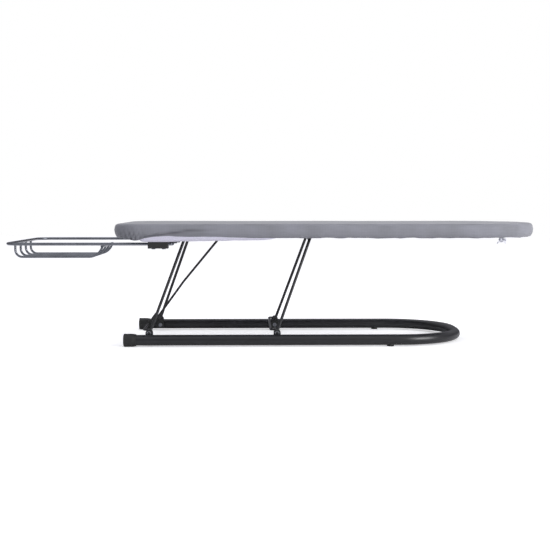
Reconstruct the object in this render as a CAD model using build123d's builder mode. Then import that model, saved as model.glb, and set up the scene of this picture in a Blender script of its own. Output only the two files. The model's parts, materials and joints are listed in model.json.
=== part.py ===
"""Tabletop ironing board: a covered board on two folding wire legs and a tube base, with a sliding iron rest.

Frame: millimetres, +Z up, the table is Z = 0, the nose points along +X, and Y = 0 is the mid-plane.
"""

from build123d import *
import os
from math import atan2, cos, degrees, radians, sin, sqrt

# ---------------------------------------------------------------- driving dimensions
# Board
board_length = 730
board_width = 310
board_centre_x = 89.5
board_top = 207
end_corner_radius = 45
nose_corner_radius = 85
nose_tip_radius = 190

# Layers of the board, from the top down
cover_thickness = 0.8
felt_thickness = 4.7
felt_side = 1.7
mesh_thickness = 1
frame_tube_radius = 7
frame_tube_wall = 1
hem_drop = 3.5
hem_turn = 14.2
cover_edge_radius = 3
flap_start_x = -225
flap_end_x = 10
flap_bottom = 176
flap_taper = 4

# Base
base_width = 247
base_open_x = -260
base_bend_x = 326
base_tube_radius = 9
base_tube_wall = 1.2
base_bend_radius = 110
base_standoff = 2
cap_extra = 2
cap_length = 21
cap_wall = 3
glide_x = 189.5
glide_radius = 6
glide_height = 5
glide_stem_radius = 2
glide_stem_top = 7
glide_edge_radius = 0.8
glide_stem_overlap = 0.5

# Legs
pivot_x_left = -218.3
leg_pitch = 216.5
pivot_rise = 10.5
leg_length = 168.7
leg_lean = 20
leg_wire_radius = 2.5
leg_bottom_gap = 8
leg_half_top = 66
leg_bend_radius = 8
stretcher_radius = 2
stretcher_back = 11
stretcher_rise = 4
stretcher_bend_radius = 6
stretcher_inset = 0.5
retainer_radius = 3.8
retainer_thickness = 1.2
stub_end = 0.2

# Pivot blocks
block_thickness = 11.5
block_lap = 1
block_half_width = 6
block_below_pivot = 16.5
rivet_radius = 2
rivet_head_radius = 3.5
rivet_head_height = 1.5
rivet_tail = 1.5

# Stay and its clip
stay_pivot_x = -101
stay_pivot_height = 181
stay_kink_x = -167
stay_kink_height = 101
stay_foot_x = -219.5
stay_foot_height = 29
stay_wire_radius = 2
stay_kink_radius = 60
stay_eye_radius = 4.2
stay_pin_radius = 2
stay_pin_head_radius = 3.2
stay_pin_head = 1
clip_half_length = 5.5
clip_wall = 2.4
clip_grip = 13

# Cross rails, straps and guides
rail_width = 28
rail_sheet = 1.5
rail_x_rest = -199.5
rail_x_nose = 240
strap_y = 38
strap_width = 12
strap_sheet = 1.5
strap_half_length = 13
strap_rivet_x = 9
strap_rivet_radius = 1.6
strap_head_radius = 3.2
strap_tail_radius = 2.6
strap_head_height = 1
stay_rail_width = 24
stay_rail_sheet = 2
ear_sheet = 1.5
ear_half_width = 5

# Iron rest
rest_side_inset = 14
rest_height = 173.4
rest_left_x = -452
rest_stop_x = -176
rest_wire_radius = 2.5
rest_corner_radius = 25
rest_stop_length = 10
rest_stop_radius = 4
tray_half_widths = (64, 21)
tray_wire_radius = 2
tray_height = 148.5
tray_bend_radius = 12
tray_flat_end_x = -309
tray_lip_x = -302
tray_lip_height = 167
tray_lip_radius = 2.3
guide_length = 33
guide_inner_reach = 14
guide_outer_reach = 8
guide_below_wire = 7.4
guide_hem_gap = 2.5
guide_pad_reach = 1
guide_screw_reach = 10
guide_screw_x = 8.5
guide_screw_radius = 1.8
guide_head_radius = 3.2
guide_head_height = 1.8
guide_rounding = 2

# Drawcord
drawcord_radius = 1.5
drawcord_inset = 12
knot_angle = 25
knot_radius = 2.6
tail_radius = 1
tail_length = 6
tail_tilts = (-25, 20)
knot_drop = 2.1

# Fits between pieces that move on each other (radial clearance)
pivot_clearance = 0.05
open_pivot_clearance = 0.09
slide_clearance = 0.08
side_clearance = 0.3

# Mesh
mesh_pitch_x = 40
mesh_pitch_y = 26
mesh_strand = 3.2
mesh_border = 12

# ---------------------------------------------------------------- derived heights and places
cover_under = board_top - cover_thickness
felt_bottom = cover_under - felt_thickness
mesh_bottom = felt_bottom - mesh_thickness
frame_height = mesh_bottom - frame_tube_radius
hem_bottom = frame_height - frame_tube_radius - hem_drop
hem_depth = board_top - hem_bottom
guide_top = hem_bottom - guide_hem_gap
end_x = board_centre_x - board_length / 2
nose_x = board_centre_x + board_length / 2
half_width = board_width / 2
rest_half_width = half_width - rest_side_inset
guide_inner_y = rest_half_width - guide_inner_reach
guide_outer_y = rest_half_width + guide_outer_reach
guide_pad_y = rest_half_width - guide_pad_reach
guide_screw_y = rest_half_width - guide_screw_reach
guide_bottom = rest_height - guide_below_wire
nose_tip_x = nose_x - nose_tip_radius
nose_corner_y = half_width - nose_corner_radius
nose_corner_x = nose_tip_x + sqrt((nose_tip_radius - nose_corner_radius) ** 2 - nose_corner_y**2)
felt_inset = cover_thickness
frame_outer_inset = cover_thickness + felt_side
frame_inset = frame_outer_inset + frame_tube_radius

base_half = base_width / 2
base_tube_height = base_tube_radius + base_standoff
cap_radius = base_tube_radius + cap_extra
pivot_height = base_tube_height + pivot_rise
block_outer_y = base_half - base_tube_radius + block_lap
block_inner_y = block_outer_y - block_thickness
leg_half_bottom = block_inner_y - leg_bottom_gap

lean_x = sin(radians(leg_lean))
lean_z = cos(radians(leg_lean))
pivot_x_right = pivot_x_left + leg_pitch
top_pivot_height = pivot_height + leg_length * lean_z
top_pivot_left = pivot_x_left + leg_length * lean_x
top_pivot_right = pivot_x_right + leg_length * lean_x
rail_bottom = top_pivot_height + leg_wire_radius + pivot_clearance
tube_end_x = base_open_x + cap_wall
glide_stem_start = base_tube_height - base_tube_radius - glide_stem_overlap
leg_stub_y = block_outer_y + side_clearance + retainer_thickness + stub_end
hook_x = pivot_x_left - stretcher_back
hook_height = pivot_height + stretcher_rise
mesh_centre_x = (end_x + nose_x - nose_corner_radius) / 2
mesh_span_x = board_length - nose_corner_radius - 2 * mesh_border - 2 * end_corner_radius
mesh_columns = int(mesh_span_x / mesh_pitch_x)
mesh_rows = int((board_width - 2 * frame_outer_inset - 2 * mesh_border) / mesh_pitch_y)

os.makedirs("parts", exist_ok=True)


def save(builder, name):
    """Label one finished sub-part and write it under the same name."""
    builder.part.label = name
    export_step(builder.part, f"parts/{name}.step")


def across(x, z, y=0):
    """A plane whose normal is -Y, with X to the right and Z up, at the place given."""
    return Plane(origin=(x, y, z), x_dir=(1, 0, 0), z_dir=(0, -1, 0))


def start_of(line):
    """The plane that a wire's round section is drawn on, at the start of its path."""
    return Plane(origin=line @ 0, z_dir=line % 0)


# ---------------------------------------------------------------- the board's outline
def half_outline(inset):
    """Draw the +Y half of the board's outline, moved inwards by inset, from the blunt end to the nose."""
    left = end_x + inset
    side = half_width - inset
    corner = end_corner_radius - inset
    big = nose_tip_radius - inset
    small = nose_corner_radius - inset
    turn = degrees(atan2(nose_corner_y, nose_corner_x - nose_tip_x))
    Line((left, 0), (left, side - corner))
    CenterArc((left + corner, side - corner), corner, 180, -90)
    Line((left + corner, side), (nose_corner_x, side))
    CenterArc((nose_corner_x, nose_corner_y), small, 90, turn - 90)
    CenterArc((nose_tip_x, 0), big, turn, -turn)


def outline_face(inset, mode=Mode.ADD):
    """Fill the whole outline at an inset, on the sketch that is open."""
    with BuildLine() as outline:
        half_outline(inset)
        mirror(about=Plane.XZ)
    make_face(outline.edges(), mode=mode)


# ---------------------------------------------------------------- base: bent tube
base_path_points = [
    (tube_end_x, -base_half, base_tube_height),
    (base_bend_x - base_tube_radius, -base_half, base_tube_height),
    (base_bend_x - base_tube_radius, base_half, base_tube_height),
    (tube_end_x, base_half, base_tube_height),
]
with BuildPart() as base_tube:
    with BuildLine() as base_path:
        FilletPolyline(*base_path_points, radius=base_bend_radius)
    with BuildSketch(start_of(base_path.line)):
        Circle(base_tube_radius)
        Circle(base_tube_radius - base_tube_wall, mode=Mode.SUBTRACT)
    sweep(path=base_path.line)
    # holes for the four rivets and the two glides
    for side in (-1, 1):
        for x in (pivot_x_left, pivot_x_right):
            with Locations((x, side * (base_half - base_tube_radius), base_tube_height)):
                Cylinder(rivet_radius, base_tube_radius, rotation=(90, 0, 0), mode=Mode.SUBTRACT)
        with Locations((glide_x, side * base_half, base_tube_height - base_tube_radius)):
            Cylinder(glide_stem_radius, base_tube_radius, mode=Mode.SUBTRACT)
save(base_tube, "base_tube")

for name, side in (("front", -1), ("rear", 1)):
    # End cap: a plastic cup over the tube's end, tapered towards the tube.
    with BuildPart() as end_cap:
        with BuildSketch(Plane(origin=(base_open_x, side * base_half, cap_radius), z_dir=(1, 0, 0))):
            Circle(cap_radius)
        extrude(amount=cap_length)
        fillet(end_cap.edges().filter_by(GeomType.CIRCLE).sort_by(Axis.X)[0], cap_wall / 2)
        chamfer(end_cap.edges().filter_by(GeomType.CIRCLE).sort_by(Axis.X)[-1], cap_wall * 2, cap_wall / 3)
        with BuildSketch(Plane(origin=(tube_end_x, side * base_half, base_tube_height), z_dir=(1, 0, 0))):
            Circle(base_tube_radius)
        extrude(amount=cap_length, mode=Mode.SUBTRACT)
    save(end_cap, f"end_cap_{name}")

    # Glide: a round foot with a saddle under the tube and a stem in its hole.
    with BuildPart() as glide:
        with BuildSketch():
            with Locations((glide_x, side * base_half)):
                Circle(glide_radius)
        extrude(amount=glide_height)
        fillet(glide.edges().group_by(Axis.Z)[0], glide_edge_radius)
        with Locations((glide_x, side * base_half, base_tube_height)):
            Cylinder(base_tube_radius, glide_radius * 3, rotation=(0, 90, 0), mode=Mode.SUBTRACT)
        with BuildSketch(Plane.XY.offset(glide_stem_start)):
            with Locations((glide_x, side * base_half)):
                Circle(glide_stem_radius)
        extrude(amount=glide_stem_top - glide_stem_start)
    save(glide, f"glide_{name}")

# ---------------------------------------------------------------- pivot blocks and their rivets
for leg_name, x in (("left", pivot_x_left), ("right", pivot_x_right)):
    for name, side in (("front", -1), ("rear", 1)):
        with BuildPart() as pivot_block:
            with BuildSketch(across(x, pivot_height, side * (block_inner_y + block_outer_y) / 2)):
                Circle(block_half_width)
                with Locations((0, -block_below_pivot / 2)):
                    Rectangle(2 * block_half_width, block_below_pivot)
                Circle(leg_wire_radius + pivot_clearance, mode=Mode.SUBTRACT)
                with Locations((0, base_tube_height - pivot_height)):
                    Circle(rivet_radius, mode=Mode.SUBTRACT)
            extrude(amount=(block_outer_y - block_inner_y) / 2, both=True)
            with Locations((x, side * base_half, base_tube_height)):
                Cylinder(base_tube_radius, 4 * block_half_width, rotation=(0, 90, 0), mode=Mode.SUBTRACT)
        save(pivot_block, f"pivot_block_{leg_name}_{name}")

with BuildPart() as pivot_rivets:
    for x in (pivot_x_left, pivot_x_right):
        for side in (-1, 1):
            inner = side * (block_inner_y - rivet_head_height)
            with BuildSketch(Plane(origin=(x, inner, base_tube_height), z_dir=(0, side, 0))):
                Circle(rivet_head_radius)
            extrude(amount=rivet_head_height)
            with BuildSketch(Plane(origin=(x, inner, base_tube_height), z_dir=(0, side, 0))):
                Circle(rivet_radius)
            extrude(amount=block_outer_y - block_inner_y + rivet_head_height + rivet_tail)
save(pivot_rivets, "pivot_rivets")


# ---------------------------------------------------------------- legs
def leg_point(pivot_x, along, y):
    """A point in a leg's leaning plane: along is the distance from the bottom pivot."""
    return (pivot_x + along * lean_x, y, pivot_height + along * lean_z)


for leg_name, pivot_x in (("left", pivot_x_left), ("right", pivot_x_right)):
    leg_points = [
        leg_point(pivot_x, 0, -leg_stub_y),
        leg_point(pivot_x, 0, -leg_half_bottom),
        leg_point(pivot_x, leg_length, -leg_half_top),
        leg_point(pivot_x, leg_length, leg_half_top),
        leg_point(pivot_x, 0, leg_half_bottom),
        leg_point(pivot_x, 0, leg_stub_y),
    ]
    # Leg: one wire, with the top bar, two splayed rods and two stubs bent outwards.
    with BuildPart() as leg_wire:
        with BuildLine() as leg_path:
            FilletPolyline(*leg_points, radius=leg_bend_radius)
        with BuildSketch(start_of(leg_path.line)):
            Circle(leg_wire_radius)
        sweep(path=leg_path.line)
    save(leg_wire, f"leg_wire_{leg_name}")

    # Stretcher: a U of thinner wire, welded to both rods near the feet.
    rod_x, rod_y, rod_z = leg_point(pivot_x, stretcher_rise / lean_z, leg_half_bottom - stretcher_inset)
    back_x = pivot_x - stretcher_back
    with BuildPart() as stretcher:
        with BuildLine() as stretcher_path:
            FilletPolyline(
                (rod_x, -rod_y, rod_z),
                (back_x, -rod_y, rod_z),
                (back_x, rod_y, rod_z),
                (rod_x, rod_y, rod_z),
                radius=stretcher_bend_radius,
            )
        with BuildSketch(start_of(stretcher_path.line)):
            Circle(stretcher_radius)
        sweep(path=stretcher_path.line)
        add(leg_wire.part, mode=Mode.SUBTRACT)
    save(stretcher, f"stretcher_{leg_name}")

    with BuildPart() as leg_retainers:
        for side in (-1, 1):
            ring_y = side * (block_outer_y + side_clearance)
            with BuildSketch(Plane(origin=(pivot_x, ring_y, pivot_height), z_dir=(0, side, 0))):
                Circle(retainer_radius)
                Circle(leg_wire_radius, mode=Mode.SUBTRACT)
            extrude(amount=retainer_thickness)
    save(leg_retainers, f"leg_retainers_{leg_name}")

# ---------------------------------------------------------------- stay and its clip
kink = Vector(stay_kink_x, 0, stay_kink_height)
foot = Vector(stay_foot_x, 0, stay_foot_height)
stay_dir = (kink - foot).normalized()
stay_side = Vector(stay_dir.Z, 0, -stay_dir.X)
stay_bore = stay_pin_radius + pivot_clearance

with BuildPart() as stay_wire:
    with BuildLine() as stay_path:
        FilletPolyline(foot, kink, (stay_pivot_x, 0, stay_pivot_height), radius=stay_kink_radius)
    with BuildSketch(start_of(stay_path.line)):
        Circle(stay_wire_radius)
    sweep(path=stay_path.line)
    with Locations((stay_pivot_x, 0, stay_pivot_height)):
        Cylinder(stay_eye_radius, 2 * stay_wire_radius, rotation=(90, 0, 0))
        Cylinder(stay_bore, 3 * stay_eye_radius, rotation=(90, 0, 0), mode=Mode.SUBTRACT)
save(stay_wire, "stay_wire")

# Clip: grips the stretcher, and holds the stay's foot in a channel that is open to the right and at the top.
hook = Vector(hook_x, 0, hook_height)
channel_offset = (foot - hook).dot(stay_side)
foot_along = (foot - hook).dot(stay_dir)
channel_half = stay_wire_radius + side_clearance
channel_start = hook + stay_dir * (foot_along - side_clearance)
clip_plane = Plane(origin=hook, x_dir=stay_dir, z_dir=(0, -1, 0))
with BuildPart() as stay_clip:
    with BuildSketch(clip_plane):
        Circle(stretcher_radius + clip_wall)
        with Locations((foot_along / 2 + clip_grip / 2, -channel_offset / 2)):
            Rectangle(foot_along + clip_grip, channel_offset + 2 * channel_half)
        Circle(stretcher_radius, mode=Mode.SUBTRACT)
    extrude(amount=clip_half_length, both=True)
    with BuildSketch(Plane(origin=channel_start, x_dir=stay_side, z_dir=stay_dir)):
        with Locations((channel_offset, 0)):
            Circle(channel_half)
        with Locations((channel_offset + channel_half, 0)):
            Rectangle(2 * channel_half, 2 * channel_half)
    extrude(amount=clip_grip * 2, mode=Mode.SUBTRACT)
save(stay_clip, "stay_clip")

# ---------------------------------------------------------------- board frame and mesh
diamond_x = (mesh_pitch_x - mesh_strand) / 2
diamond_y = diamond_x * mesh_pitch_y / mesh_pitch_x
diamond = [(diamond_x, 0), (0, diamond_y), (-diamond_x, 0), (0, -diamond_y)]

with BuildPart() as board_frame:
    with BuildLine(Plane.XY.offset(frame_height)) as frame_path:
        half_outline(frame_inset)
    with BuildSketch(start_of(frame_path.line)):
        Circle(frame_tube_radius)
        Circle(frame_tube_radius - frame_tube_wall, mode=Mode.SUBTRACT)
    sweep(path=frame_path.line)
    mirror(about=Plane.XZ)
save(board_frame, "board_frame")

with BuildPart() as board_mesh:
    with BuildSketch(Plane.XY.offset(mesh_bottom)):
        outline_face(frame_outer_inset)
        with Locations((mesh_centre_x, 0)):
            for shift in (0, 1):
                with GridLocations(mesh_pitch_x, mesh_pitch_y, mesh_columns - shift, mesh_rows - shift):
                    Polygon(*diamond, mode=Mode.SUBTRACT)
    extrude(amount=mesh_thickness)
save(board_mesh, "board_mesh")


# ---------------------------------------------------------------- cross rails
def cross_rail(x, holes, hole_radius):
    """A channel that spans the frame: its web is below, and its two flanges reach up between the tubes."""
    span = half_width - frame_inset
    with BuildPart() as rail:
        with BuildSketch(Plane(origin=(x, 0, rail_bottom), x_dir=(1, 0, 0), z_dir=(0, -1, 0))):
            with Locations((0, (frame_height - rail_bottom) / 2)):
                Rectangle(rail_width, frame_height - rail_bottom)
            with Locations((0, (frame_height - rail_bottom) / 2 + rail_sheet)):
                Rectangle(rail_width - 2 * rail_sheet, frame_height - rail_bottom, mode=Mode.SUBTRACT)
        extrude(amount=span - frame_tube_radius + side_clearance, both=True)
        with Locations((x, span, frame_height), (x, -span, frame_height)):
            Cylinder(frame_tube_radius, 2 * rail_width, rotation=(0, 90, 0), mode=Mode.SUBTRACT)
        with BuildSketch(Plane.XY.offset(rail_bottom)):
            with Locations(*holes):
                Circle(hole_radius)
        extrude(amount=rail_sheet, mode=Mode.SUBTRACT)
    return rail


def strap_rivet_places(x):
    """The four rivets of the two straps on one leg rail."""
    return [(x + end * strap_rivet_x, side * strap_y) for end in (-1, 1) for side in (-1, 1)]


def guide_screw_places():
    """The two screws of each guide."""
    return [(rail_x_rest + end * guide_screw_x, side * guide_screw_y) for end in (-1, 1) for side in (-1, 1)]


save(cross_rail(top_pivot_left, strap_rivet_places(top_pivot_left), strap_rivet_radius), "rail_left_leg")
save(cross_rail(top_pivot_right, strap_rivet_places(top_pivot_right), strap_rivet_radius), "rail_right_leg")
save(cross_rail(rail_x_rest, guide_screw_places(), guide_screw_radius), "rail_rest")

# Nose rail: a flat strip under the mesh, from tube to tube.
with BuildPart() as rail_nose:
    with Locations((rail_x_nose, 0, frame_height)):
        Box(rail_width, 2 * (half_width - frame_inset), 2 * rail_sheet)
    for side in (-1, 1):
        with Locations((rail_x_nose, side * (half_width - frame_inset), frame_height)):
            Cylinder(frame_tube_radius, 2 * rail_width, rotation=(0, 90, 0), mode=Mode.SUBTRACT)
save(rail_nose, "rail_nose")

# Stay rail: a strip along the mid-plane between the two leg rails.
stay_rail_start = top_pivot_left + rail_width / 2
stay_rail_end = top_pivot_right - rail_width / 2
bracket_top = stay_pivot_height + stay_eye_radius + side_clearance + ear_sheet
with BuildPart() as stay_rail:
    with Locations(((stay_rail_start + stay_rail_end) / 2, 0, bracket_top + stay_rail_sheet / 2)):
        Box(stay_rail_end - stay_rail_start, stay_rail_width, stay_rail_sheet)
save(stay_rail, "stay_rail")

# Stay bracket: a folded U with two ears that hold the stay's pin.
with BuildPart() as stay_bracket:
    with BuildSketch(across(stay_pivot_x, stay_pivot_height)):
        Circle(ear_half_width)
        with Locations((0, (bracket_top - stay_pivot_height) / 2)):
            Rectangle(2 * ear_half_width, bracket_top - stay_pivot_height)
        Circle(stay_pin_radius, mode=Mode.SUBTRACT)
    extrude(amount=stay_wire_radius + side_clearance + ear_sheet, both=True)
    with BuildSketch(across(stay_pivot_x, bracket_top - ear_sheet)):
        with Locations((0, -ear_half_width * 2)):
            Rectangle(4 * ear_half_width, 4 * ear_half_width)
    extrude(amount=stay_wire_radius + side_clearance, both=True, mode=Mode.SUBTRACT)
save(stay_bracket, "stay_bracket")

with BuildPart() as stay_pin:
    with BuildSketch(across(stay_pivot_x, stay_pivot_height)):
        Circle(stay_pin_radius)
    extrude(amount=stay_wire_radius + side_clearance + ear_sheet + stay_pin_head, both=True)
    for side in (-1, 1):
        head_y = side * (stay_wire_radius + side_clearance + ear_sheet)
        with BuildSketch(Plane(origin=(stay_pivot_x, head_y, stay_pivot_height), z_dir=(0, side, 0))):
            Circle(stay_pin_head_radius)
        extrude(amount=stay_pin_head)
save(stay_pin, "stay_pin")

# ---------------------------------------------------------------- straps that hold the legs' top bars
for leg_name, x, clearance in (
    ("left", top_pivot_left, pivot_clearance),
    ("right", top_pivot_right, open_pivot_clearance),
):
    for name, side in (("front", -1), ("rear", 1)):
        flange_z = rail_bottom - top_pivot_height
        bore = leg_wire_radius + clearance
        with BuildPart() as leg_strap:
            with BuildSketch(across(x, top_pivot_height, side * strap_y)):
                Circle(bore + strap_sheet)
                with Locations((0, flange_z - strap_sheet / 2)):
                    Rectangle(2 * strap_half_length, strap_sheet)
                with Locations((0, flange_z + strap_half_length)):
                    Rectangle(2 * strap_half_length, 2 * strap_half_length, mode=Mode.SUBTRACT)
                Circle(bore, mode=Mode.SUBTRACT)
                with Locations((0, flange_z / 2)):
                    Rectangle(2 * bore, flange_z, mode=Mode.SUBTRACT)
            extrude(amount=strap_width / 2, both=True)
            with Locations(*[(x + end * strap_rivet_x, side * strap_y, rail_bottom) for end in (-1, 1)]):
                Cylinder(strap_rivet_radius, 4 * strap_sheet, mode=Mode.SUBTRACT)
        save(leg_strap, f"leg_strap_{leg_name}_{name}")

with BuildPart() as strap_rivets:
    for x in (top_pivot_left, top_pivot_right):
        with BuildSketch(Plane.XY.offset(rail_bottom - strap_sheet)):
            with Locations(*strap_rivet_places(x)):
                Circle(strap_rivet_radius)
        extrude(amount=strap_sheet + rail_sheet)
        with BuildSketch(Plane.XY.offset(rail_bottom - strap_sheet)):
            with Locations(*strap_rivet_places(x)):
                Circle(strap_head_radius)
        extrude(amount=-strap_head_height)
        with BuildSketch(Plane.XY.offset(rail_bottom + rail_sheet)):
            with Locations(*strap_rivet_places(x)):
                Circle(strap_tail_radius)
        extrude(amount=strap_head_height)
save(strap_rivets, "strap_rivets")

# ---------------------------------------------------------------- guides of the iron rest
for name, side in (("front", -1), ("rear", 1)):
    with BuildPart() as rest_guide:
        with BuildSketch(Plane(origin=(rail_x_rest, 0, 0), x_dir=(0, side, 0), z_dir=(side, 0, 0))):
            with Locations(((guide_inner_y + guide_outer_y) / 2, (guide_bottom + guide_top) / 2)):
                RectangleRounded(guide_outer_y - guide_inner_y, guide_top - guide_bottom, guide_rounding)
            with Locations(((guide_inner_y + guide_pad_y) / 2, (rest_height + rail_bottom) / 2)):
                Rectangle(guide_pad_y - guide_inner_y, rail_bottom - rest_height)
            with Locations((rest_half_width, rest_height)):
                Circle(rest_wire_radius + slide_clearance, mode=Mode.SUBTRACT)
        extrude(amount=guide_length / 2, both=True)
        with Locations(*[(x, y, rest_height) for x, y in guide_screw_places()]):
            Cylinder(guide_screw_radius, 2 * (guide_top - guide_bottom), mode=Mode.SUBTRACT)
    save(rest_guide, f"rest_guide_{name}")

with BuildPart() as guide_screws:
    with BuildSketch(Plane.XY.offset(guide_bottom)):
        with Locations(*guide_screw_places()):
            Circle(guide_screw_radius)
    extrude(amount=rail_bottom + rail_sheet - guide_bottom)
    with BuildSketch(Plane.XY.offset(guide_bottom)):
        with Locations(*guide_screw_places()):
            Circle(guide_head_radius)
    extrude(amount=-guide_head_height)
save(guide_screws, "guide_screws")

# ---------------------------------------------------------------- felt, cover and drawcord
with BuildPart() as cover_inside:
    with BuildSketch(Plane.XY.offset(hem_bottom)):
        outline_face(cover_thickness)
    extrude(amount=cover_under - hem_bottom)
    fillet(cover_inside.edges().group_by(Axis.Z)[-1], cover_edge_radius - cover_thickness)

# Felt: a pad on the mesh, wrapped down over the tube, with a longer flap at the front near the blunt end.
with BuildPart() as underlay_felt:
    add(cover_inside.part)
    with BuildSketch(Plane.XY.offset(hem_bottom)):
        outline_face(frame_outer_inset)
    extrude(amount=felt_bottom - hem_bottom, mode=Mode.SUBTRACT)
    with BuildSketch(Plane.XY.offset(hem_bottom)):
        outline_face(0)
    extrude(amount=frame_height - frame_tube_radius / 2 - hem_bottom, mode=Mode.SUBTRACT)
    with BuildSketch(Plane.XY.offset(flap_bottom)):
        with Locations(((flap_start_x + flap_end_x) / 2, -(half_width - felt_inset - felt_side / 2))):
            Rectangle(flap_end_x - flap_start_x, felt_side)
    extrude(amount=frame_height - flap_bottom)
    with BuildSketch(Plane.XZ):
        with BuildLine():
            Polyline(
                (flap_start_x, flap_bottom),
                (flap_end_x, flap_bottom + flap_taper),
                (flap_end_x, flap_bottom),
                close=True,
            )
        make_face()
    extrude(amount=board_width, mode=Mode.SUBTRACT)
save(underlay_felt, "underlay_felt")

# Cover: a cloth cap with a hem turned in under the frame, and a small hole for the drawcord's ends.
knot_reach = nose_corner_radius - drawcord_inset
knot_x = nose_corner_x + knot_reach * sin(radians(knot_angle))
knot_y = -(nose_corner_y + knot_reach * cos(radians(knot_angle)))
with BuildPart() as cover:
    with BuildSketch(Plane.XY.offset(hem_bottom)):
        outline_face(0)
    extrude(amount=hem_depth)
    fillet(cover.edges().group_by(Axis.Z)[-1], cover_edge_radius)
    add(cover_inside.part, mode=Mode.SUBTRACT)
    with BuildSketch(Plane.XY.offset(hem_bottom)):
        outline_face(cover_thickness / 2)
        outline_face(hem_turn, mode=Mode.SUBTRACT)
        with Locations((knot_x, knot_y)):
            Circle(tail_radius, mode=Mode.SUBTRACT)
    extrude(amount=cover_thickness)
    add(underlay_felt.part, mode=Mode.SUBTRACT)
save(cover, "cover")

with BuildPart() as drawcord:
    with BuildLine(Plane.XY.offset(hem_bottom + cover_thickness + drawcord_radius)) as drawcord_path:
        half_outline(drawcord_inset)
    with BuildSketch(start_of(drawcord_path.line)):
        Circle(drawcord_radius)
    sweep(path=drawcord_path.line)
    mirror(about=Plane.XZ)
save(drawcord, "drawcord")

# Knot: the drawcord's ends tied below the hem, with two short tails.
with BuildPart() as drawcord_knot:
    with Locations((knot_x, knot_y, hem_bottom - knot_drop)):
        Sphere(knot_radius)
    split(bisect_by=Plane.XY.offset(hem_bottom), keep=Keep.BOTTOM)
    with BuildSketch(Plane.XY.offset(hem_bottom)):
        with Locations((knot_x, knot_y)):
            Circle(tail_radius)
    extrude(amount=cover_thickness)
    for tilt in tail_tilts:
        tail_dir = Vector(sin(radians(tilt)), 0, -cos(radians(tilt)))
        with BuildSketch(Plane(origin=(knot_x, knot_y, hem_bottom - knot_radius), z_dir=tail_dir)):
            Circle(tail_radius)
        extrude(amount=tail_length)
save(drawcord_knot, "drawcord_knot")

# ---------------------------------------------------------------- iron rest
rest_points = [
    (rest_stop_x, -rest_half_width + rest_stop_length, rest_height),
    (rest_stop_x, -rest_half_width, rest_height),
    (rest_left_x, -rest_half_width, rest_height),
    (rest_left_x, rest_half_width, rest_height),
    (rest_stop_x, rest_half_width, rest_height),
    (rest_stop_x, rest_half_width - rest_stop_length, rest_height),
]
rest_bends = [rest_stop_radius, rest_corner_radius, rest_corner_radius, rest_stop_radius]
with BuildPart() as rest_frame:
    with BuildLine() as rest_path:
        FilletPolyline(*rest_points, radius=rest_bends)
    with BuildSketch(start_of(rest_path.line)):
        Circle(rest_wire_radius)
    sweep(path=rest_path.line)
save(rest_frame, "rest_frame")

with BuildPart() as tray_lip:
    with Locations((tray_lip_x, 0, tray_lip_height)):
        Cylinder(tray_lip_radius, 2 * tray_half_widths[0] + 2 * tray_wire_radius, rotation=(90, 0, 0))
save(tray_lip, "tray_lip")

tray_places = [-tray_half_widths[0], -tray_half_widths[1], tray_half_widths[1], tray_half_widths[0]]
for number, y in enumerate(tray_places, start=1):
    with BuildPart() as tray_wire:
        with BuildLine() as tray_path:
            FilletPolyline(
                (rest_left_x, y, rest_height),
                (rest_left_x, y, tray_height),
                (tray_flat_end_x, y, tray_height),
                (tray_lip_x, y, tray_lip_height),
                radius=[tray_bend_radius, 2 * tray_bend_radius],
            )
        with BuildSketch(start_of(tray_path.line)):
            Circle(tray_wire_radius)
        sweep(path=tray_path.line)
        add(rest_frame.part, mode=Mode.SUBTRACT)
        add(tray_lip.part, mode=Mode.SUBTRACT)
    save(tray_wire, f"tray_wire_{number}")
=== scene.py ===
# %% [markdown]
# # A tabletop ironing board
# The frame, the joints and every hard part come packed from the CAD model. This script adds what cloth and finish
# need: the cotton cover, the felt under it, the knot of its drawcord, the weld beads, and all the materials.

# %% Load the fixed frame
import bpy
import bmesh
import json
import math
from mathutils import Matrix, Vector, noise


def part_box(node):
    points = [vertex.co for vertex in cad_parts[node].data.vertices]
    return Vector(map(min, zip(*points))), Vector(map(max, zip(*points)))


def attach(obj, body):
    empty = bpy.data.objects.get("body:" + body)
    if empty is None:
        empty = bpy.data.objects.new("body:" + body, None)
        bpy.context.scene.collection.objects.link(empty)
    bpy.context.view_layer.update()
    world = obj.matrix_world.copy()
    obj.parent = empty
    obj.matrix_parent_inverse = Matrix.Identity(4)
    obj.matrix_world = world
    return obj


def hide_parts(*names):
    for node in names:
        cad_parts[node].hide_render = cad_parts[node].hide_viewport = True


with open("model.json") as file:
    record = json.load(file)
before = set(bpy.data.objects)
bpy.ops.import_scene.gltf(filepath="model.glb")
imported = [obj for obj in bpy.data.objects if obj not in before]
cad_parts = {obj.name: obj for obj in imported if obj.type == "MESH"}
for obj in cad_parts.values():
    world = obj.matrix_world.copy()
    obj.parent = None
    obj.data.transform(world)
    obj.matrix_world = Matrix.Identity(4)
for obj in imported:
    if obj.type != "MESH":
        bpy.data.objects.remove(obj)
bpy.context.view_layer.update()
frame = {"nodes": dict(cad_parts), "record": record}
MM = 0.001

# %% [markdown]
# ## Camera
# A small product is photographed from a little above with a longish lens, so that its long sides stay straight.
# The camera stands almost two metres in front of the mid-plane, at about the height of the ironing surface, and
# it is turned a little down and to the right instead of being shifted.

# %% Camera
camera_place = Vector((-40, -1913, 241)) * MM
camera_turn = math.radians(1.10)
camera_tilt = math.radians(3.85)

camera = bpy.data.objects.new("camera", bpy.data.cameras.new("camera"))
bpy.context.scene.collection.objects.link(camera)
camera.data.sensor_width = 36
camera.data.lens = 36 * 1069 / 550
camera.data.clip_end = 50
camera.location = camera_place
camera.rotation_euler = (math.pi / 2 - camera_tilt, 0, -camera_turn)
bpy.context.scene.camera = camera

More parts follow.
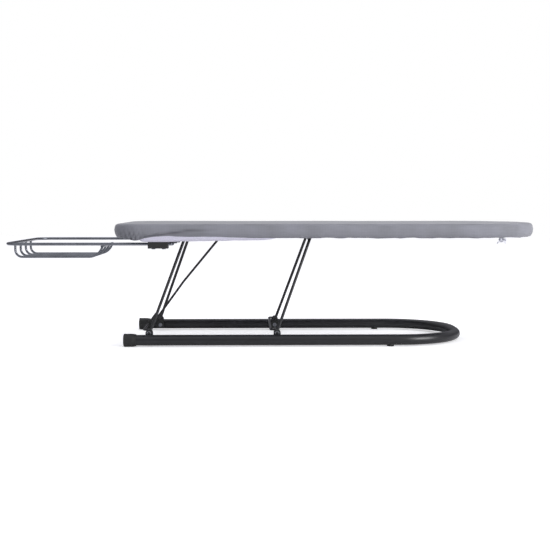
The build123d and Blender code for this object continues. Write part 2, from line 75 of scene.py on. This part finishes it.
# %% [markdown]
# ## Floor and light
# The backdrop is pure white to the camera. To everything else the surround is dark at the horizon and bright above,
# so that plated wire and black tube have something dark to mirror. The table glows a little for the camera only,
# which hides the line where it meets the backdrop. One large soft light stands to the right, so the cover is lighter
# towards the nose, and a weaker one fills the left.


# %% Floor, surround and lights
def srgb(value):
    """Turn a hex colour such as #8a8b90 into the linear colour that shaders expect."""
    parts = [int(value[i : i + 2], 16) / 255 for i in (1, 3, 5)]
    return tuple(c / 12.92 if c <= 0.04045 else ((c + 0.055) / 1.055) ** 2.4 for c in parts) + (1.0,)


def add_node(tree, kind, links=None, **settings):
    """Add a shader node, set its options and input values, and link its inputs."""
    made = tree.nodes.new(kind)
    for key, value in settings.items():
        if key in made.inputs:
            made.inputs[key].default_value = value
        elif hasattr(made, key):
            setattr(made, key, value)
        else:
            made.inputs[key.replace("_", " ")].default_value = value
    for key, source in (links or {}).items():
        tree.links.new(source, made.inputs[key])
    return made


def area_light(name, place, aim, size, power, tint="#ffffff"):
    """A square soft light that points at aim."""
    lamp = bpy.data.lights.new(name, "AREA")
    lamp.size = size
    lamp.energy = power
    lamp.color = srgb(tint)[:3]
    holder = bpy.data.objects.new(name, lamp)
    bpy.context.scene.collection.objects.link(holder)
    holder.location = place
    holder.rotation_euler = (Vector(aim) - Vector(place)).to_track_quat("-Z", "Y").to_euler()
    return holder


bm = bmesh.new()
bmesh.ops.create_grid(bm, x_segments=1, y_segments=1, size=6)
floor_mesh = bpy.data.meshes.new("floor")
bm.to_mesh(floor_mesh)
bm.free()
floor = bpy.data.objects.new("floor", floor_mesh)
bpy.context.scene.collection.objects.link(floor)
paper = bpy.data.materials.new("matt_white_table")
paper.use_nodes = True
paper.node_tree.nodes["Principled BSDF"].inputs["Base Color"].default_value = srgb("#fdfdfd")
paper.node_tree.nodes["Principled BSDF"].inputs["Roughness"].default_value = 0.9
lift = add_node(paper.node_tree, "ShaderNodeLightPath").outputs["Is Camera Ray"]
glow = add_node(paper.node_tree, "ShaderNodeMath", {"Value": lift}, operation="MULTIPLY")
glow.inputs[1].default_value = 0.42
paper.node_tree.nodes["Principled BSDF"].inputs["Emission Color"].default_value = srgb("#ffffff")
paper.node_tree.links.new(glow.outputs["Value"], paper.node_tree.nodes["Principled BSDF"].inputs["Emission Strength"])
floor.data.materials.append(paper)

world = bpy.data.worlds.new("studio")
world.use_nodes = True
tree = world.node_tree
heading = add_node(tree, "ShaderNodeTexCoord").outputs["Generated"]
rise = add_node(tree, "ShaderNodeSeparateXYZ", {"Vector": heading}).outputs["Z"]
dome = add_node(tree, "ShaderNodeValToRGB", {"Fac": rise})
dome.color_ramp.elements[0].position = 0.02
dome.color_ramp.elements[0].color = srgb("#3a3a40")
dome.color_ramp.elements[1].position = 0.85
dome.color_ramp.elements[1].color = srgb("#e6e6ee")
seen = add_node(tree, "ShaderNodeLightPath").outputs["Is Camera Ray"]
white = add_node(tree, "ShaderNodeMixRGB", {"Fac": seen, "Color1": dome.outputs["Color"]}, Color2=srgb("#ffffff"))
tree.links.new(white.outputs["Color"], tree.nodes["Background"].inputs["Color"])
tree.nodes["Background"].inputs["Strength"].default_value = 1.0
bpy.context.scene.world = world
bpy.context.scene.view_settings.view_transform = "Standard"

area_light("key_right", (1.8, -1.6, 0.8), (0.15, 0, 0.18), 1.2, 46, "#fdfdff")
area_light("fill_left", (-1.8, -1.5, 0.8), (-0.1, 0, 0.18), 1.6, 5, "#fbfbff")
area_light("top_soft", (0, 0.3, 2.2), (0, 0, 0), 2.2, 10)

# %% [markdown]
# ## Materials
# Each finish starts from what it is. Patterns read the pieces' own object coordinates, in metres, and their scale
# comes from a real size in millimetres.


# %% A start for each material
def new_material(name, colour, roughness, metallic=0.0):
    """A principled material with its base values set; returns the material, its tree and its shader."""
    made = bpy.data.materials.new(name)
    made.use_nodes = True
    tree = made.node_tree
    shader = tree.nodes["Principled BSDF"]
    shader.inputs["Base Color"].default_value = srgb(colour)
    shader.inputs["Roughness"].default_value = roughness
    shader.inputs["Metallic"].default_value = metallic
    return made, tree, shader


def per_metre(size_mm):
    """How often a pattern of this size repeats in a metre."""
    return 1000 / size_mm


def mottle(tree, coordinates, size_mm, detail=3):
    """Noise with blotches of the size given; returns its factor."""
    cloud = add_node(tree, "ShaderNodeTexNoise", {"Vector": coordinates}, Scale=per_metre(size_mm), Detail=detail)
    return cloud.outputs["Fac"]


def between(tree, factor, first, second, low=0.3, high=0.7):
    """A ramp from one colour to another."""
    ramp = add_node(tree, "ShaderNodeValToRGB", {"Fac": factor})
    ramp.color_ramp.elements[0].position = low
    ramp.color_ramp.elements[0].color = srgb(first)
    ramp.color_ramp.elements[1].position = high
    ramp.color_ramp.elements[1].color = srgb(second)
    return ramp.outputs["Color"]


def spread(tree, factor, low, high):
    """Map a factor of 0 to 1 onto a range of values."""
    made = add_node(tree, "ShaderNodeMapRange", {"Value": factor})
    made.inputs["To Min"].default_value = low
    made.inputs["To Max"].default_value = high
    return made.outputs["Result"]


def raise_surface(tree, shader, height, depth_mm, strength=1.0):
    """Bump of the depth given, on the shader's normal."""
    bump = add_node(tree, "ShaderNodeBump", {"Height": height}, Strength=strength, Distance=depth_mm * MM)
    tree.links.new(bump.outputs["Normal"], shader.inputs["Normal"])
    return bump


# %% [markdown]
# ### Powder coat on steel tube
# Dry polyester powder is baked onto the tube. It melts to a satin skin with a slight orange peel of about 1.5 mm,
# which breaks up long highlights, and it wears a touch shinier in patches.


# %% Powder coats
def powder_coat(name, dark, light, roughness, peel_mm=1.5):
    made, tree, shader = new_material(name, dark, roughness)
    place = add_node(tree, "ShaderNodeTexCoord").outputs["Object"]
    tree.links.new(between(tree, mottle(tree, place, 60), dark, light), shader.inputs["Base Color"])
    patches = mottle(tree, place, 25)
    tree.links.new(spread(tree, patches, roughness - 0.06, roughness + 0.08), shader.inputs["Roughness"])
    raise_surface(tree, shader, mottle(tree, place, peel_mm, 2), 0.05, 0.5)
    shader.inputs["Coat Weight"].default_value = 0.15
    shader.inputs["Coat Roughness"].default_value = 0.25
    return made


tube_coat = powder_coat("black_powder_coated_tube", "#121214", "#17171a", 0.36)
wire_coat = powder_coat("black_powder_coated_wire", "#101012", "#161618", 0.34, 1.0)
frame_coat = powder_coat("grey_powder_coated_frame", "#8a8c91", "#989a9f", 0.45)

# %% [markdown]
# ### Bright zinc plate on drawn wire
# The iron rest is drawn steel wire, welded and then plated. The plate mirrors the room, and faint lines from the
# drawing die and cloudy patches keep it from looking like chrome glass.

# %% Zinc plate
zinc_wire, tree, shader = new_material("bright_zinc_plated_wire", "#85888e", 0.24, 1.0)
place = add_node(tree, "ShaderNodeTexCoord").outputs["Object"]
tree.links.new(between(tree, mottle(tree, place, 22, 2), "#686b70", "#7c7f85"), shader.inputs["Base Color"])
tree.links.new(spread(tree, mottle(tree, place, 12), 0.2, 0.3), shader.inputs["Roughness"])
raise_surface(tree, shader, mottle(tree, place, 0.8, 2), 0.02, 0.4)

rivet_zinc, tree, shader = new_material("zinc_plated_rivet", "#86888d", 0.36, 1.0)
place = add_node(tree, "ShaderNodeTexCoord").outputs["Object"]
tree.links.new(between(tree, mottle(tree, place, 3), "#6f7176", "#9a9ca1"), shader.inputs["Base Color"])
raise_surface(tree, shader, mottle(tree, place, 0.6, 2), 0.02, 0.5)

# %% [markdown]
# ### Moulded polypropylene
# Caps, glides, blocks and guides are injection moulded in black. The mould is spark-eroded, so the skin has a fine
# matt grain, with a slightly greyer bloom where hands and tables rub it.

# %% Black plastic
black_plastic, tree, shader = new_material("moulded_black_polypropylene", "#161716", 0.52)
place = add_node(tree, "ShaderNodeTexCoord").outputs["Object"]
tree.links.new(between(tree, mottle(tree, place, 9), "#131413", "#1d1e1d"), shader.inputs["Base Color"])
tree.links.new(spread(tree, mottle(tree, place, 4), 0.44, 0.62), shader.inputs["Roughness"])
raise_surface(tree, shader, mottle(tree, place, 0.7, 2), 0.04, 0.6)


# %% [markdown]
# ### Cloth
# The cover is plain-woven cotton with a silvery coating. Real threads lie 0.4 mm apart, which is too fine to show,
# so the weave is drawn at 1.3 mm. Two crossed waves make the over and under of warp and weft. The coating dulls the
# cloth in soft clouds with a trace of lavender, and fine creases run where it was folded in its packet.


# %% Woven cotton, felt and cord
def weave_height(tree, place, thread_mm):
    """Warp and weft as two crossed waves; returns the height."""
    waves = []
    for direction in ("X", "Y"):
        waves.append(
            add_node(
                tree,
                "ShaderNodeTexWave",
                {"Vector": place},
                Scale=per_metre(thread_mm) / (2 * math.pi),
                Distortion=0.6,
                Detail=1.0,
                bands_direction=direction,
            ).outputs["Fac"]
        )
    both = add_node(tree, "ShaderNodeMath", operation="MULTIPLY")
    tree.links.new(waves[0], both.inputs[0])
    tree.links.new(waves[1], both.inputs[1])
    return both.outputs["Value"]


cotton, tree, shader = new_material("coated_grey_cotton", "#7c7d82", 0.78)
place = add_node(tree, "ShaderNodeTexCoord").outputs["UV"]
clouds = between(tree, mottle(tree, place, 70, 4), "#797a7f", "#888990", 0.35, 0.68)
threads = weave_height(tree, place, 1.3)
thread_tone = between(tree, threads, "#8e8f94", "#ffffff", 0.0, 0.5)
tinted = add_node(tree, "ShaderNodeMixRGB", blend_type="MULTIPLY", Fac=0.14)
tree.links.new(clouds, tinted.inputs["Color1"])
tree.links.new(thread_tone, tinted.inputs["Color2"])
# Painted shade: the fold_shade attribute darkens the cloth towards #3a3a40 in the pleats' grooves, under the side's
# fold and towards the hem.
fold_shade = add_node(tree, "ShaderNodeAttribute", attribute_name="fold_shade").outputs["Fac"]
fold_shaded_colour = add_node(
    tree, "ShaderNodeMixRGB", {"Fac": fold_shade, "Color1": tinted.outputs["Color"]}, Color2=srgb("#3a3a40")
)
tree.links.new(fold_shaded_colour.outputs["Color"], shader.inputs["Base Color"])
tree.links.new(spread(tree, mottle(tree, place, 30), 0.68, 0.86), shader.inputs["Roughness"])
creases = add_node(tree, "ShaderNodeTexNoise", {"Vector": place}, Scale=per_metre(22), Detail=5.0, Distortion=0.8)
cloth_bump = raise_surface(tree, shader, threads, 0.08, 0.3)
crease_bump = add_node(tree, "ShaderNodeBump", {"Height": creases.outputs["Fac"]}, Strength=0.5, Distance=0.5 * MM)
tree.links.new(crease_bump.outputs["Normal"], cloth_bump.inputs["Normal"])
shader.inputs["Sheen Weight"].default_value = 0.25
shader.inputs["Sheen Roughness"].default_value = 0.4
shader.inputs["Specular IOR Level"].default_value = 0.35

# Needle felt: short fibres punched together, so it has no weave, only a soft fuzz with small tufts.
felt, tree, shader = new_material("pale_needle_felt", "#b3b1c4", 0.95)
place = add_node(tree, "ShaderNodeTexCoord").outputs["Object"]
fibres = add_node(tree, "ShaderNodeTexNoise", {"Vector": place}, Scale=per_metre(1.6), Detail=6.0, Roughness=0.7)
tree.links.new(between(tree, fibres.outputs["Fac"], "#b0aebd", "#cbc9d6"), shader.inputs["Base Color"])
raise_surface(tree, shader, fibres.outputs["Fac"], 0.25, 0.7)
shader.inputs["Sheen Weight"].default_value = 0.4

# Braided polyester cord: strands cross at 2 mm steps, which a pair of slanted waves draws.
braid, tree, shader = new_material("braided_polyester_cord", "#b9bac2", 0.7)
place = add_node(tree, "ShaderNodeTexCoord").outputs["Object"]
strands = add_node(
    tree, "ShaderNodeTexWave", {"Vector": place}, Scale=per_metre(2) / (2 * math.pi), bands_direction="DIAGONAL"
)
tree.links.new(between(tree, strands.outputs["Fac"], "#8d8e98", "#d2d3da", 0.1, 0.8), shader.inputs["Base Color"])
raise_surface(tree, shader, strands.outputs["Fac"], 0.2, 0.6)
shader.inputs["Sheen Weight"].default_value = 0.2
print("materials:", len(bpy.data.materials))

# %% [markdown]
# ## The hard parts
# Their shape is already right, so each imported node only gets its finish.


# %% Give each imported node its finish
finishes = {
    "black_tube": tube_coat,
    "black_wire": wire_coat,
    "frame_paint": frame_coat,
    "black_plastic": black_plastic,
    "rivet_steel": rivet_zinc,
    "plated_wire": zinc_wire,
    "felt": felt,
    "cover_cloth": cotton,
    "drawcord": braid,
}


def dress(piece, material):
    """Put one material on a piece."""
    piece.data.materials.clear()
    piece.data.materials.append(material)


for part in frame["record"]["subparts"]:
    dress(frame["nodes"][part["node"]], finishes[part["material_slot"]])

# %% [markdown]
# ## The shape of the board
# The cover and the felt both follow the board's outline: a blunt end with two round corners, straight sides, and a
# nose of two arcs. One helper gives the half width and the outward direction anywhere along it, so each layer can
# be set in by its own distance.

# %% The outline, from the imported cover's box
low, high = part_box("cover")
end_x, nose_x = low[0], high[0]
half_width = high[1]
hem_z, top_z = low[2], high[2]
end_radius, nose_radius, tip_radius = 45 * MM, 85 * MM, 190 * MM
tip_x = nose_x - tip_radius
nose_y = half_width - nose_radius
nose_start = tip_x + math.sqrt((tip_radius - nose_radius) ** 2 - nose_y**2)
nose_turn = math.atan2(nose_y, nose_start - tip_x)


def half_width_at(x, inset):
    """Half the width of the outline at x, for an outline set in by inset."""
    end_centre = end_x + end_radius
    if x < end_centre:
        return half_width - end_radius + math.sqrt(max((end_radius - inset) ** 2 - (end_centre - x) ** 2, 0))
    if x < nose_start:
        return half_width - inset
    if x < tip_x + (tip_radius - inset) * math.cos(nose_turn):
        return nose_y + math.sqrt(max((nose_radius - inset) ** 2 - (x - nose_start) ** 2, 0))
    return math.sqrt(max((tip_radius - inset) ** 2 - (x - tip_x) ** 2, 0))


def outward_at(x, y, inset):
    """The outward direction at a point of the outline."""
    side = 1 if y >= 0 else -1
    if x < end_x + end_radius:
        if abs(y) < half_width - end_radius:
            return Vector((-1, 0, 0))
        return Vector((x - end_x - end_radius, y - side * (half_width - end_radius), 0)).normalized()
    if x < nose_start:
        return Vector((0, side, 0))
    if x < tip_x + (tip_radius - inset) * math.cos(nose_turn):
        return Vector((x - nose_start, y - side * nose_y, 0)).normalized()
    return Vector((x - tip_x, y, 0)).normalized()


print("board:", round((nose_x - end_x) * 1000), "x", round(half_width * 2000), "mm")

# %% [markdown]
# ### A cap of cloth
# A fitted cover is one flat piece of cloth whose edge is gathered down and under. It could be draped by simulation,
# but it is stretched tight on a flat board, so it is drawn: a grid makes the top, its border is extruded ring by
# ring over the edge, down the side and under the frame, and a move is then given to each ring for creases.


# %% Build a cap from a grid and rings
def cloth_cap(name, inset, height, rings, rows, step, wrinkle, shade=None):
    """A grid top at the height and inset given, with its border extruded through rings of (inset, height)."""
    bm = bmesh.new()
    shade_layer = bm.verts.layers.float.new("fold_shade")
    straight = nose_start - end_x - end_radius
    columns = [end_x + inset + (end_radius - inset) * (1 - math.cos(math.pi / 2 * i / 26)) for i in range(26)]
    columns += [end_x + end_radius + straight * i / int(straight / step) for i in range(int(straight / step))]
    nose_length = nose_x - inset - nose_start
    columns += [nose_start + nose_length * math.sin(math.pi / 2 * i / 34) for i in range(35)]
    bmesh.ops.create_grid(bm, x_segments=len(columns) - 1, y_segments=rows, size=0.5)
    spots = sorted({round(v.co.x, 5) for v in bm.verts})
    column_at = dict(zip(spots, columns))
    for v in bm.verts:
        x = column_at[round(v.co.x, 5)]
        v.co = Vector((x, 2 * v.co.y * half_width_at(x, inset), height))
    bmesh.ops.remove_doubles(bm, verts=bm.verts, dist=0.2 * MM)
    border = [e for e in bm.edges if e.is_boundary]
    away = {v: outward_at(v.co.x, v.co.y, inset) for e in border for v in e.verts}
    level = {v: -1 for v in bm.verts}
    last = inset
    for number, (ring_inset, ring_height) in enumerate(rings):
        made = bmesh.ops.extrude_edge_only(bm, edges=border)["geom"]
        fresh = [g for g in made if isinstance(g, bmesh.types.BMVert)]
        old_away = {tuple(round(c, 6) for c in v.co): d for v, d in away.items()}
        away = {v: old_away[tuple(round(c, 6) for c in v.co)] for v in fresh}
        for v in fresh:
            v.co += away[v] * (last - ring_inset)
            v.co.z = ring_height(v.co.x, v.co.y) if callable(ring_height) else ring_height
            level[v] = number
        last = ring_inset
        border = [g for g in made if isinstance(g, bmesh.types.BMEdge) and g.is_boundary]
    for v in bm.verts:
        away_here = outward_at(v.co.x, v.co.y, inset)
        # Painted shade from the shade function goes into the fold_shade attribute.
        v[shade_layer] = shade(v.co, level[v], away_here) if shade else 0.0
        v.co += wrinkle(v.co, level[v], away_here)
    bmesh.ops.recalc_face_normals(bm, faces=bm.faces)
    mesh = bpy.data.meshes.new(name)
    bm.to_mesh(mesh)
    bm.free()
    piece = bpy.data.objects.new(name, mesh)
    bpy.context.scene.collection.objects.link(piece)
    for face in mesh.polygons:
        face.use_smooth = True
    return piece


def lay_uv(piece):
    """Unroll the cloth: on the top UV is the place in metres, and on the skirt it runs on round the edge."""
    layer = piece.data.uv_layers.new(name="cloth")
    for face in piece.data.polygons:
        flat = abs(face.normal.z) > 0.6
        lengthwise = abs(face.normal.y) >= abs(face.normal.x)
        for loop in face.loop_indices:
            p = piece.data.vertices[piece.data.loops[loop].vertex_index].co
            side = p.x if lengthwise else p.y
            layer.data[loop].uv = (p.x, p.y) if flat else (side, p.z)


def add_modifier(piece, kind, **settings):
    """Add a modifier with its settings."""
    made = piece.modifiers.new(kind.title(), kind)
    for key, value in settings.items():
        setattr(made, key, value)
    return made


def bell(value, centre, width):
    """A smooth bump of height 1 at the centre."""
    return math.exp(-(((value - centre) / width) ** 2))


# %% [markdown]
# ### The grey cover
# Its skirt is drawn in by the cord, so its lower edge is puckered: small even scallops towards the nose, a few
# deep pleats at the near corner of the blunt end, and beside them one fold that runs up the side and lets the pale
# felt show below.

# %% The cover's creases and pleats
cover_inset = 10 * MM
fold_start, fold_end = -0.232, -0.165
pleat_x, pleat_spread, pleat_pitch = -0.243, 0.019, 0.0078


def cover_hem(x, y):
    """The height of the hem's lowest line, in metres: scalloped, and lifted where the felt shows."""
    small_bumps = noise.noise(Vector((x / 0.013, y / 0.013, 3.1)))
    long_waves = noise.noise(Vector((x / 0.03, y / 0.03, 7)))
    bumps = 1.1 * small_bumps + 0.8 * long_waves
    towards_nose = min(max((x + 0.02) / 0.12, 0.15), 1.0)
    lift = 0.0
    if y < 0:
        lift = 2.6 * bell(x, -0.19, 0.03) + 2.2 * bell(x, -0.12, 0.05) - 4.2 * bell(x, -0.236, 0.014)
    return hem_z + (bumps * towards_nose + lift) * MM


def groove_at(p):
    """How deep p is in one of the corner's pleats, 0 to 1."""
    return 1 - abs(math.sin((p.x + 0.35 * p.z) / pleat_pitch * math.pi))


def crease_at(p):
    """The height of the fold that runs up the side at p, and how strong it is there."""
    along = min(max((p.x - fold_start) / (fold_end - fold_start), 0), 1.3)
    strength = min(max((p.x - fold_start) / 0.012, 0), 1) * min(max((-0.1 - p.x) / 0.05, 0), 1)
    return hem_z + (3 + 9 * along) * MM, strength


def cover_wrinkle(p, ring, away):
    """How far a point of the cover leaves the ideal cap."""
    if ring < 0:
        soft = noise.noise(Vector((p.x / 0.09, p.y / 0.06, 1.7)))
        return Vector((0, 0, 0.35 * soft * MM - 0.2 * MM))
    down = min(max((top_z - p.z) / (top_z - hem_z), 0), 1)
    along = p.x if abs(away.y) > 0.5 else p.y
    ripple = noise.noise(Vector((along / 0.011, p.z / 0.05, 5.3))) * (0.25 + 0.75 * down)
    wave = noise.noise(Vector((along / 0.045, p.z / 0.03, 9.1)))
    puff = 0.55 * ripple * down + 0.7 * wave * down
    if away.y < -0.3:
        puff += bell(p.x, pleat_x, pleat_spread) * (1.0 - 3.4 * groove_at(p) ** 2) * down**1.5
        line, inside = crease_at(p)
        puff += inside * (1.6 * bell(p.z, line + 2.2 * MM, 2.2 * MM) - 0.9 * bell(p.z, line - 1.5 * MM, 1.6 * MM))
    if p.x > 0.40 or away.x < -0.3:
        puff -= 1.6 * abs(away.x) * down**3
    if p.x > 0.36:
        puff += 0.5 * down * math.sin(math.atan2(p.y, p.x - tip_x) * 38)
    return away * (puff * MM)


def cover_shade(p, ring, away):
    """How much painted shade a point gets, 0 to 1: in the pleats' grooves, just under the side's fold, and more
    towards the hem.
    """
    if ring < 0:
        return 0.0
    down = min(max((top_z - p.z) / (top_z - hem_z), 0), 1)
    # Painted shade: darker towards the hem where the side turns under, more in the pleats' grooves and just under the
    # fold.
    shade = 0.22 * down**3
    if away.y < -0.3:
        shade += 0.75 * bell(p.x, pleat_x, pleat_spread) * groove_at(p) ** 2 * down
        line, inside = crease_at(p)
        shade += 0.6 * inside * bell(p.z, line - 1.5 * MM, 1.8 * MM)
    return min(shade, 1.0)


side_rings = [
    (7.0 * MM, top_z - 0.4 * MM),
    (4.4 * MM, top_z - 1.3 * MM),
    (2.5 * MM, top_z - 2.8 * MM),
    (1.4 * MM, top_z - 4.8 * MM),
    (0.9 * MM, top_z - 7.4 * MM),
    (0.3 * MM, top_z - 11 * MM),
    (0.6 * MM, top_z - 14 * MM),
    (1.0 * MM, top_z - 16.5 * MM),
    (1.5 * MM, lambda x, y: cover_hem(x, y) + 5.2 * MM),
    (2.2 * MM, lambda x, y: cover_hem(x, y) + 3.2 * MM),
    (3.2 * MM, lambda x, y: cover_hem(x, y) + 1.4 * MM),
    (4.8 * MM, lambda x, y: cover_hem(x, y) + 0.3 * MM),
    (7.5 * MM, lambda x, y: cover_hem(x, y) + 0.1 * MM),
    (11 * MM, lambda x, y: cover_hem(x, y) + 0.4 * MM),
    (13.4 * MM, lambda x, y: cover_hem(x, y) + 1.2 * MM),
]
cover = cloth_cap("cover_cloth", cover_inset, top_z - 0.05 * MM, side_rings, 64, 2.4 * MM, cover_wrinkle, cover_shade)
lay_uv(cover)
dress(cover, cotton)
add_modifier(cover, "SOLIDIFY", thickness=0.7 * MM, offset=-1.0)
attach(cover, "board")
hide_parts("cover")

# %% [markdown]
# ### The felt
# A pale needle felt lies on the mesh and wraps over the tube. At the near side of the blunt end its edge hangs out
# below the hem as a soft strip that narrows towards the middle.

# %% The felt pad
felt_low, felt_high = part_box("underlay_felt")
felt_thickness = 1.7 * MM
flap_start, flap_end = -0.236, 0.012


def felt_edge(x, y):
    """How low the felt's edge hangs."""
    lowest = hem_z + 4 * MM
    if y < 0 and flap_start < x < flap_end:
        rise = min((x - flap_start) / 0.014, 1) * min((flap_end - x) / 0.04, 1)
        along = (x - flap_start) / (flap_end - flap_start)
        soft = 0.7 * noise.noise(Vector((x / 0.02, 0, 2.2)))
        reach = (10.6 - 4.6 * along + soft) * MM
        return lowest - reach * math.sin(rise * math.pi / 2)
    return lowest


def felt_wrinkle(p, ring, away):
    """Soft waves in the felt, larger on the strip that hangs free."""
    if ring < 5:
        return Vector()
    return away * (0.5 * noise.noise(Vector((p.x / 0.02, p.z / 0.02, 4))) * MM)


felt_rings = [
    (7.5 * MM, top_z - 3.3 * MM),
    (4.2 * MM, top_z - 6.0 * MM),
    (2.7 * MM, top_z - 9 * MM),
    (3.0 * MM, top_z - 14 * MM),
    (4.2 * MM, hem_z + 5.5 * MM),
    (4.6 * MM, lambda x, y: (hem_z + 4.6 * MM) * 0.5 + felt_edge(x, y) * 0.5),
    (4.8 * MM, felt_edge),
]
felt_pad = cloth_cap("felt_pad", 12 * MM, top_z - 2.6 * MM, felt_rings, 40, 5 * MM, felt_wrinkle)
dress(felt_pad, felt)
add_modifier(felt_pad, "SOLIDIFY", thickness=felt_thickness, offset=-1.0)
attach(felt_pad, "board")
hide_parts("underlay_felt")

# %% [markdown]
# ### The knot
# The drawcord's two ends leave the hem near the nose and are tied below it. A knot is easiest as a curve: three
# turns of a trefoil pulled tight, with two short tails that hang down.

# %% The knot and its tails
knot_low, knot_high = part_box("drawcord_knot")
knot_at = Vector(((knot_low[0] + knot_high[0]) / 2, (knot_low[1] + knot_high[1]) / 2, hem_z - 3.4 * MM))


def cord_curve(name, points, radius, closed=False):
    """A round cord along a smooth spline, turned into a mesh."""
    curve = bpy.data.curves.new(name, "CURVE")
    curve.dimensions = "3D"
    curve.bevel_depth = radius
    curve.bevel_resolution = 3
    curve.use_fill_caps = True
    spline = curve.splines.new("NURBS")
    spline.points.add(len(points) - 1)
    for spot, point in zip(spline.points, points):
        spot.co = (*point, 1)
    spline.order_u = 3
    spline.use_cyclic_u = closed
    spline.use_endpoint_u = not closed
    spline.resolution_u = 6
    holder = bpy.data.objects.new(name + "_curve", curve)
    mesh = bpy.data.meshes.new_from_object(holder)
    bpy.data.objects.remove(holder)
    piece = bpy.data.objects.new(name, mesh)
    bpy.context.scene.collection.objects.link(piece)
    for face in mesh.polygons:
        face.use_smooth = True
    return piece


loops = []
for i in range(18):
    turn = 2 * math.pi * i / 18
    reach = (2 + math.cos(3 * turn)) * 1.35 * MM
    across_knot, up_knot = 1.6 * reach * math.cos(2 * turn), 0.8 * reach * math.sin(2 * turn)
    loops.append(knot_at + Vector((across_knot, 1.6 * MM * math.sin(3 * turn), up_knot)))
knot = cord_curve("cord_knot", loops, 1.25 * MM, closed=True)
tails = [
    cord_curve(
        f"cord_tail_{number}",
        [knot_at, knot_at + Vector((lean * 3, -1, -1.5)) * MM, knot_at + Vector((lean * 6.5, -1.5, -3.0)) * MM,
         knot_at + Vector((lean * 8.5, -1.0, -6.0)) * MM],
        0.9 * MM,
    )
    for number, lean in ((1, -1), (2, 0.7))
]
for piece in (knot, *tails):
    dress(piece, braid)
    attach(piece, "board")
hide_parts("drawcord_knot")

# %% [markdown]
# ## Weld beads
# Each stretcher, each tray wire and the tray's lip is spot welded, which leaves a small flattened bead at the joint.

# %% Beads at the welded joints


def weld_bead(name, place, body, material, size=2.6):
    """A small, slightly uneven bead of weld."""
    bm = bmesh.new()
    bmesh.ops.create_icosphere(bm, subdivisions=3, radius=size * MM)
    for v in bm.verts:
        v.co *= 1 + 0.12 * noise.noise(v.co / (1.4 * MM) + Vector(place) * 900)
    bmesh.ops.scale(bm, vec=Vector((1, 1.25, 0.9)), verts=bm.verts)
    bmesh.ops.translate(bm, vec=Vector(place), verts=bm.verts)
    mesh = bpy.data.meshes.new(name)
    bm.to_mesh(mesh)
    bm.free()
    piece = bpy.data.objects.new(name, mesh)
    bpy.context.scene.collection.objects.link(piece)
    for face in mesh.polygons:
        face.use_smooth = True
    dress(piece, material)
    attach(piece, body)
    return piece


beads = 0
for side_name in ("left", "right"):
    stretch_low, stretch_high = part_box(f"stretcher_{side_name}")
    middle_z = (stretch_low[2] + stretch_high[2]) / 2
    for y in (stretch_low[1] + 2 * MM, stretch_high[1] - 2 * MM):
        spot = (stretch_high[0] - 0.6 * MM, y, middle_z)
        bead = weld_bead(f"weld_{side_name}_{beads}", spot, f"leg_{side_name}", wire_coat)
        beads += 1
rest_low, rest_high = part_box("rest_frame")
lip_low, lip_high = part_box("tray_lip")
for number in (1, 2, 3, 4):
    wire_low, wire_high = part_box(f"tray_wire_{number}")
    y = (wire_low[1] + wire_high[1]) / 2
    at_frame = (rest_low[0] + 2.5 * MM, y, rest_low[2] + 0.4 * MM)
    at_lip = (lip_low[0] + 1.0 * MM, y, (lip_low[2] + lip_high[2]) / 2 - 1 * MM)
    for spot in (at_frame, at_lip):
        bead = weld_bead(f"weld_tray_{beads}", spot, "iron_rest", zinc_wire, 2.3)
        beads += 1
print("weld beads:", beads)
